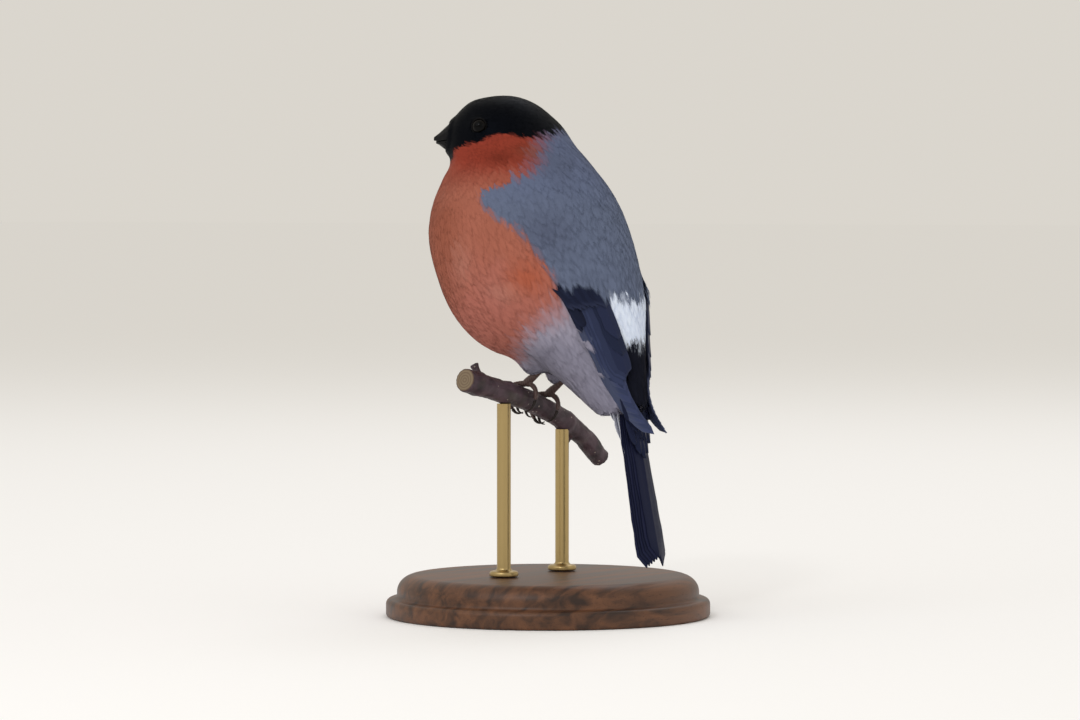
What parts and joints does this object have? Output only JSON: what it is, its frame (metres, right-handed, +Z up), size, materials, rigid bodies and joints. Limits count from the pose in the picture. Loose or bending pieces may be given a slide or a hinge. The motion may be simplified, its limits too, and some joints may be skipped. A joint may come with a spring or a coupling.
{
  "type": "male bullfinch on a perch",
  "caption": "Still, life-size male bullfinch gripping a short cut length of branch, held by two rods on a round base.",
  "frame": {"origin": "middle of the round base's underside", "axes": "+Z up, the bird's body faces -Y, its left is +X; its head is turned to its left"},
  "size_m": [0.094, 0.094, 0.1514],
  "materials": {
    "red_plumage": "soft feathers, brick red",
    "grey_plumage": "soft feathers, blue grey",
    "black_plumage": "close glossy feathers, black",
    "flight_feathers": "glossy vanes, blue black",
    "bill": "smooth horn, black",
    "eye": "wet and dark brown, nearly black",
    "leg": "small scales, dark brown",
    "claw": "smooth horn, dark",
    "bark": "knobby bark, purple brown",
    "base_wood": "turned and satin",
    "rod_brass": "satin"
  },
  "bodies": {
    "root": {"torso": "red_plumage", "neck": "grey_plumage", "head": "black_plumage", "tail": "flight_feathers", "wing_left": "flight_feathers", "wing_right": "flight_feathers", "thigh_left": "red_plumage", "thigh_right": "red_plumage", "bill_upper": "bill", "bill_lower": "bill", "eye_left": "eye", "eye_right": "eye", "leg_left": "leg", "leg_right": "leg", "claw_left_inner": "claw", "claw_left_middle": "claw", "claw_left_outer": "claw", "claw_left_hind": "claw", "claw_right_inner": "claw", "claw_right_middle": "claw", "claw_right_outer": "claw", "claw_right_hind": "claw", "perch": "bark", "stand_base": "base_wood", "stand_rod_1": "rod_brass", "stand_rod_2": "rod_brass"}
  },
  "joints": []
}
